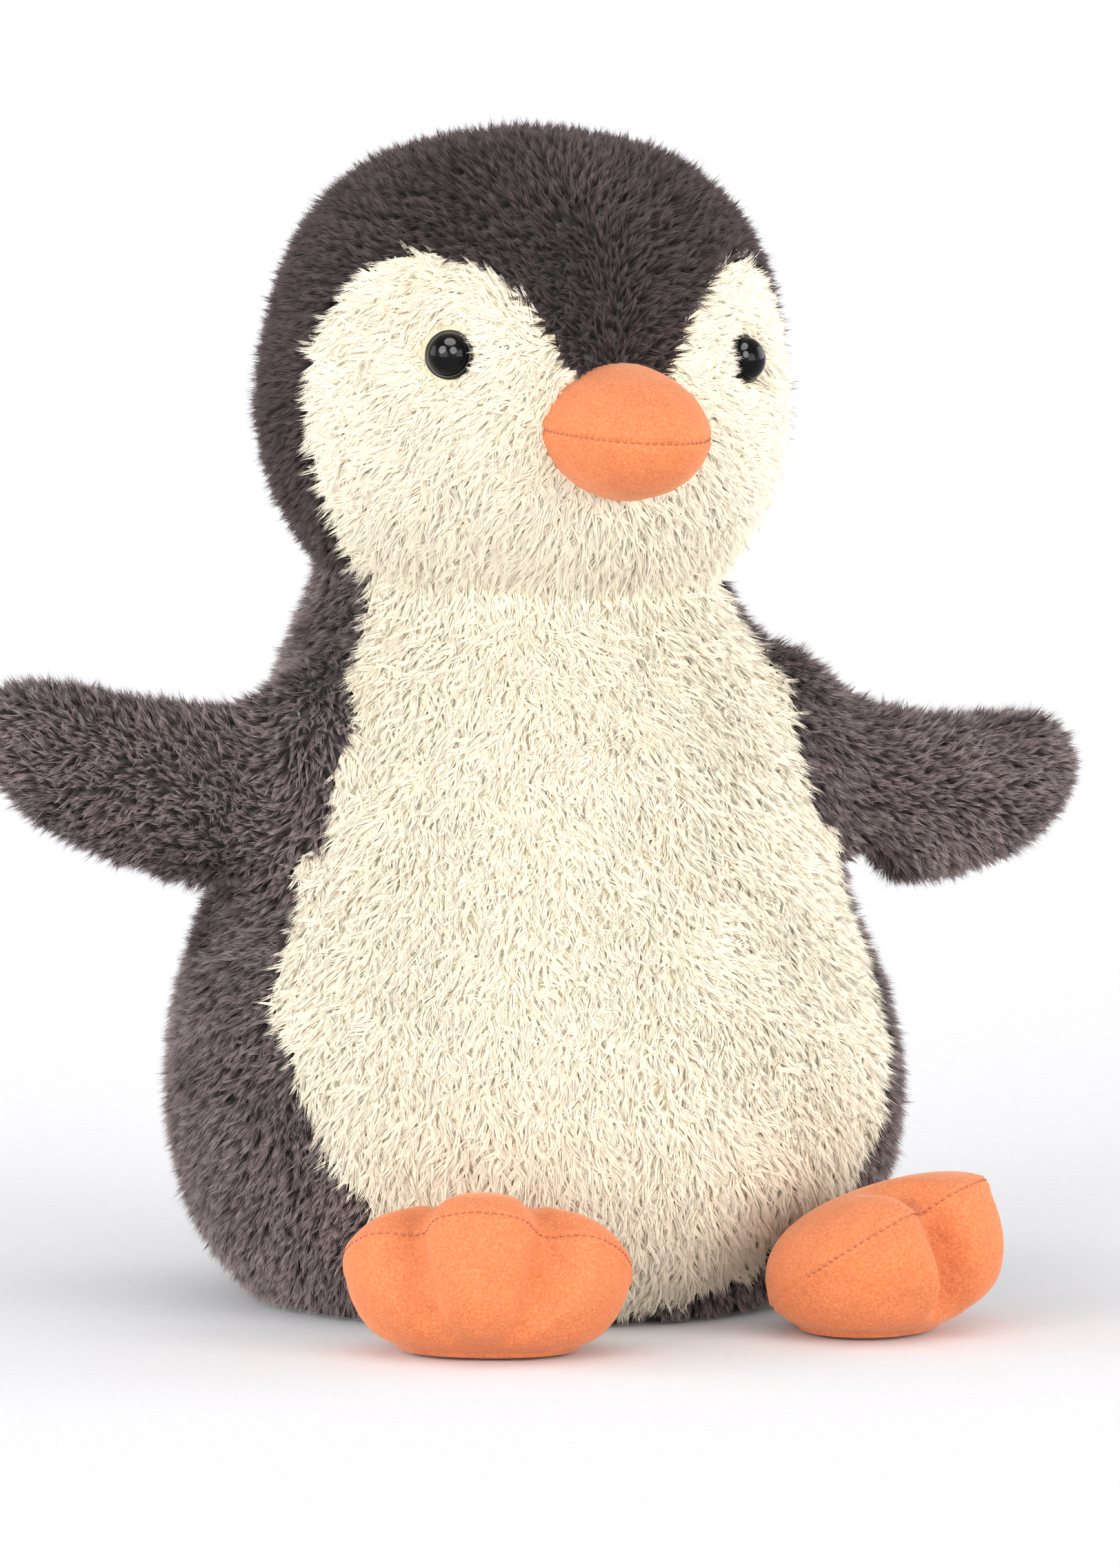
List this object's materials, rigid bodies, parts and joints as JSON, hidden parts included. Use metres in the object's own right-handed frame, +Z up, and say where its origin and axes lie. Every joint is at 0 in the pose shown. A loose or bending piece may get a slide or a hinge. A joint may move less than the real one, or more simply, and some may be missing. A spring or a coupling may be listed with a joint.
{
  "type": "plush penguin toy",
  "caption": "Sitting stuffed plush penguin with dark fur back and wings, cream fur face and belly, orange suede beak and feet, and a head that turns and nods.",
  "frame": {"origin": "centre of the flat base, on the surface the toy sits on", "axes": "+X towards the penguin's own left wing, -Y the way it faces, +Z up"},
  "size_m": [0.3232, 0.2468, 0.327],
  "materials": {
    "dark_fur": "matte, short dense pile, grey-brown",
    "cream_fur": "matte, short dense pile, cream",
    "orange_suede": "matte, fine suede-like nap, orange",
    "eye_plastic": "gloss black",
    "washer_plastic": "plain moulded, off-white",
    "stuffing": "loose white polyester fibre",
    "pouch_cloth": "matte plain-woven lining cloth",
    "pellets": "satin plastic pellets"
  },
  "bodies": {
    "torso": {"belly_panel": "cream_fur", "body_side_left": "dark_fur", "body_side_right": "dark_fur", "base_panel": "dark_fur", "body_stuffing": "stuffing", "bean_pouch": "pouch_cloth", "bean_fill": "pellets"},
    "neck": {"neck_stuffing": "stuffing"},
    "head": {"head_side_left": "dark_fur", "head_side_right": "dark_fur", "face_left": "cream_fur", "face_right": "cream_fur", "head_stuffing": "stuffing", "beak_upper": "orange_suede", "beak_lower": "orange_suede", "beak_stuffing": "stuffing", "eye_left": "eye_plastic", "eye_right": "eye_plastic", "eye_washer_left": "washer_plastic", "eye_washer_right": "washer_plastic"},
    "wing_left": {"wing_left_front": "dark_fur", "wing_left_back": "dark_fur", "wing_left_stuffing": "stuffing"},
    "wing_right": {"wing_right_front": "dark_fur", "wing_right_back": "dark_fur", "wing_right_stuffing": "stuffing"},
    "foot_left": {"foot_left_upper": "orange_suede", "foot_left_sole": "orange_suede", "foot_left_stuffing": "stuffing"},
    "foot_right": {"foot_right_upper": "orange_suede", "foot_right_sole": "orange_suede", "foot_right_stuffing": "stuffing"}
  },
  "joints": [
    {"name": "neck_turn", "type": "hinge", "parent": "torso", "child": "neck", "pos_m": [0, 0, 0.235], "axis": [0, 0, 1], "range_deg": [-35, 35], "stiffness_Nm_per_rad": 0.4},
    {"name": "neck_nod", "type": "hinge", "parent": "neck", "child": "head", "pos_m": [0, 0, 0.235], "axis": [1, 0, 0], "range_deg": [-12, 12], "stiffness_Nm_per_rad": 1.5},
    {"name": "wing_left_flap", "type": "hinge", "parent": "torso", "child": "wing_left", "pos_m": [0.063, -0.018, 0.144], "axis": [0, -1, 0], "range_deg": [-15, 25], "stiffness_Nm_per_rad": 0.3},
    {"name": "wing_right_flap", "type": "hinge", "parent": "torso", "child": "wing_right", "pos_m": [-0.063, -0.018, 0.144], "axis": [0, 1, 0], "range_deg": [-15, 25], "stiffness_Nm_per_rad": 0.3},
    {"name": "foot_left_lift", "type": "hinge", "parent": "torso", "child": "foot_left", "pos_m": [0.0485, -0.084, 0.018], "axis": [-0.866, -0.5, 0], "range_deg": [0, 25], "stiffness_Nm_per_rad": 0.2},
    {"name": "foot_right_lift", "type": "hinge", "parent": "torso", "child": "foot_right", "pos_m": [-0.04252, -0.08718, 0.018], "axis": [-0.8988, 0.4384, 0], "range_deg": [0, 25], "stiffness_Nm_per_rad": 0.2}
  ]
}
